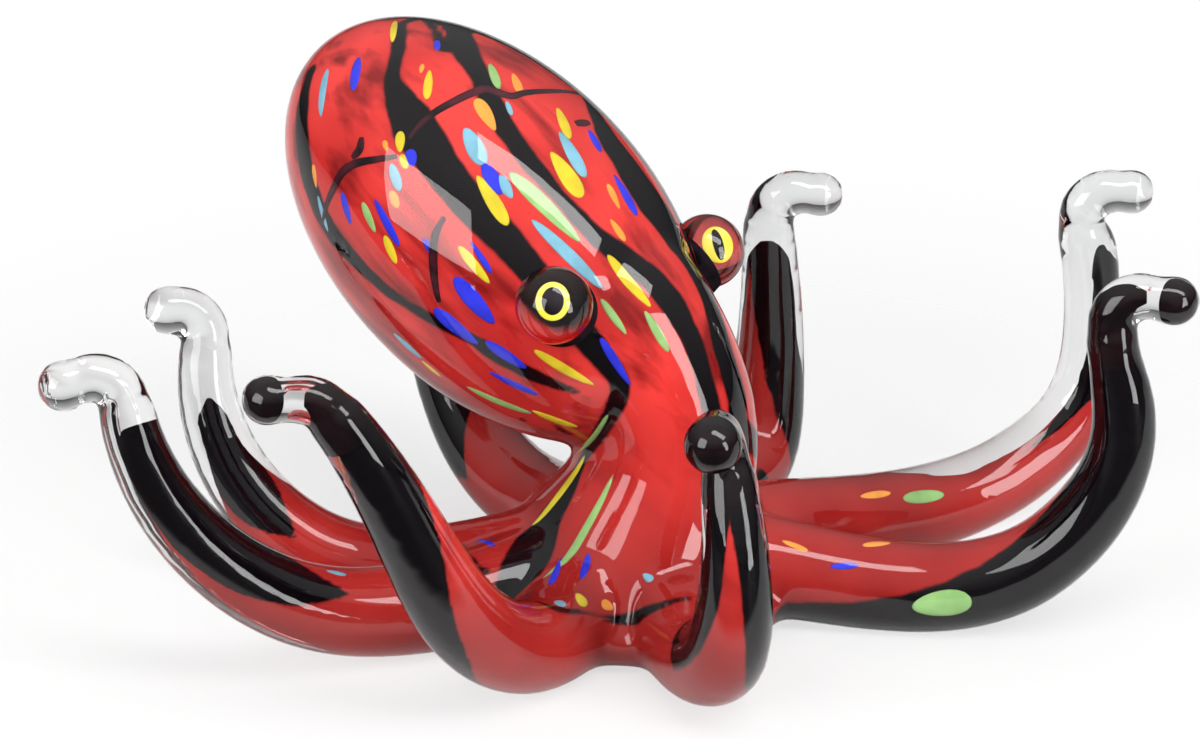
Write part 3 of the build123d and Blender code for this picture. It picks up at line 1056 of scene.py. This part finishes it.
class OCTOPUS_OT_stage(bpy.types.Operator):
    """Pale floor, soft studio light and the camera"""

    bl_idname = "octopus.stage"
    bl_label = "Stage"

    def execute(self, context):
        sizes, _ = settings()
        self.floor(sizes.floor_size)
        self.lamps()
        self.world()
        self.camera()
        context.scene.view_settings.view_transform = "Standard"
        return {"FINISHED"}

    def floor(self, size):
        """Pale floor that fades from the camera's sight away from the figurine."""
        bpy.ops.object.select_all(action="DESELECT")
        bpy.ops.mesh.primitive_plane_add(size=size)
        floor = bpy.context.object
        floor.name = "floor"
        floor.data.materials.append(self.floor_material())

    @staticmethod
    def floor_material():
        """White table, which the glass mirrors as dark beyond its front edge."""
        material, tree, shader, output = new_material("pale floor")
        shader.inputs["Roughness"].default_value = FLOOR_ROUGHNESS
        shader.inputs["Specular IOR Level"].default_value = FLOOR_SHINE
        place = tree.nodes.new("ShaderNodeTexCoord").outputs["Object"]
        path = tree.nodes.new("ShaderNodeLightPath")
        front = (TABLE_FRONT, TABLE_FRONT - TABLE_EDGE)
        beyond = remap(tree, coordinate(tree, place, "Y"), front, smooth=True)
        dark = combine(tree, "MULTIPLY", beyond, path.outputs["Is Glossy Ray"])
        mix = two_tone(tree, dark, FLOOR_COLOUR, ROOM_COLOUR)
        tree.links.new(mix.outputs["Result"], shader.inputs["Base Color"])
        reach = tree.nodes.new("ShaderNodeVectorMath")
        reach.operation = "LENGTH"
        tree.links.new(place, reach.inputs[0])
        rim = (SHADOW_REACH, SHADOW_REACH * SHADOW_FADE)
        fade = remap(tree, reach.outputs["Value"], rim, (1 - SHADOW_SHARE, 1.0), smooth=True)
        gone = combine(tree, "MULTIPLY", fade, path.outputs["Is Camera Ray"])
        clear = tree.nodes.new("ShaderNodeBsdfTransparent")
        whole = tree.nodes.new("ShaderNodeMixShader")
        tree.links.new(gone, whole.inputs["Fac"])
        tree.links.new(shader.outputs["BSDF"], whole.inputs[1])
        tree.links.new(clear.outputs["BSDF"], whole.inputs[2])
        tree.links.new(whole.outputs["Shader"], output.inputs["Surface"])
        return material

    @staticmethod
    def lamp(name, place, roll, width, height, energy):
        """One softbox, aimed at the figurine and rolled by this many degrees."""
        data = bpy.data.lights.new(name, "AREA")
        data.shape = "RECTANGLE"
        data.size = width
        data.size_y = height
        data.energy = energy
        lamp = link(bpy.data.objects.new(name, data))
        lamp.location = place
        aim = (LOOK_AT - place).to_track_quat("-Z", "Y")
        lamp.rotation_euler = (aim @ Quaternion((0, 0, 1), math.radians(roll))).to_euler()

    def lamps(self):
        """All the softboxes."""
        for name, azimuth, rise, *shape in LAMPS:
            self.lamp(name, LOOK_AT + heading(azimuth, rise) * LAMP_DISTANCE, *shape)

    def world(self):
        """Surroundings that light the glass, show through it and are mirrored in it, to a strength each."""
        world = bpy.data.worlds.new("studio")
        world.use_nodes = True
        bpy.context.scene.world = world
        tree = world.node_tree
        background = tree.nodes["Background"]
        background.inputs["Color"].default_value = (1, 1, 1, 1)
        rise = coordinate(tree, tree.nodes.new("ShaderNodeTexCoord").outputs["Generated"], "Z")
        mirrored = remap(tree, rise, (0.0, CEILING_RISE), (ROOM_MIRRORED, CEILING_MIRRORED))
        path = tree.nodes.new("ShaderNodeLightPath")
        through = self.either(tree, path.outputs["Is Transmission Ray"], WORLD_LIGHT, WORLD_THROUGH)
        seen = self.either(tree, path.outputs["Is Camera Ray"], 0.0, 1.0)
        tree.links.new(through, seen.node.inputs["A"])
        whole = self.either(tree, path.outputs["Is Glossy Ray"], 0.0, 0.0)
        tree.links.new(seen, whole.node.inputs["A"])
        tree.links.new(mirrored, whole.node.inputs["B"])
        tree.links.new(whole, background.inputs["Strength"])

    @staticmethod
    def either(tree, kind, otherwise, value):
        """Value for one kind of ray, and another for all the rest."""
        mix = tree.nodes.new("ShaderNodeMix")
        mix.inputs["A"].default_value = otherwise
        mix.inputs["B"].default_value = value
        tree.links.new(kind, mix.inputs["Factor"])
        return mix.outputs["Result"]

    @staticmethod
    def camera():
        """Camera at the photograph's viewing angle."""
        data = bpy.data.cameras.new("camera")
        data.lens = CAMERA_LENS
        data.sensor_width = SENSOR_WIDTH
        camera = link(bpy.data.objects.new("camera", data))
        offset = Vector((0, -math.cos(CAMERA_RISE), math.sin(CAMERA_RISE))) * CAMERA_DISTANCE
        camera.location = LOOK_AT + offset
        camera.rotation_euler = (-offset).to_track_quat("-Z", "Y").to_euler()
        bpy.context.scene.camera = camera


STEPS = (
    OCTOPUS_OT_clear_casing,
    OCTOPUS_OT_coloured_core,
    OCTOPUS_OT_flecks,
    OCTOPUS_OT_threads,
    OCTOPUS_OT_dark_tips,
    OCTOPUS_OT_eyes,
    OCTOPUS_OT_stage,
)


class OCTOPUS_PT_panel(bpy.types.Panel):
    """Steps that build the octopus"""

    bl_idname = "OCTOPUS_PT_panel"
    bl_label = "Glass octopus"
    bl_space_type = "VIEW_3D"
    bl_region_type = "UI"
    bl_category = "Octopus"

    def draw(self, context):
        for step in STEPS:
            self.layout.operator(step.bl_idname)


CLASSES = (OctopusColours, OctopusSizes, *STEPS, OCTOPUS_PT_panel)


def register():
    """Add the settings, the steps and the panel to Blender."""
    for cls in CLASSES:
        bpy.utils.register_class(cls)
    bpy.types.Scene.octopus_colours = bpy.props.PointerProperty(type=OctopusColours)
    bpy.types.Scene.octopus_sizes = bpy.props.PointerProperty(type=OctopusSizes)


def unregister():
    """Take them out again."""
    del bpy.types.Scene.octopus_sizes
    del bpy.types.Scene.octopus_colours
    for cls in reversed(CLASSES):
        bpy.utils.unregister_class(cls)


def main():
    """Build the figurine and its stage."""
    register()
    for step in STEPS:
        area, name = step.bl_idname.split(".")
        getattr(getattr(bpy.ops, area), name)()


if __name__ == "__main__":
    main()
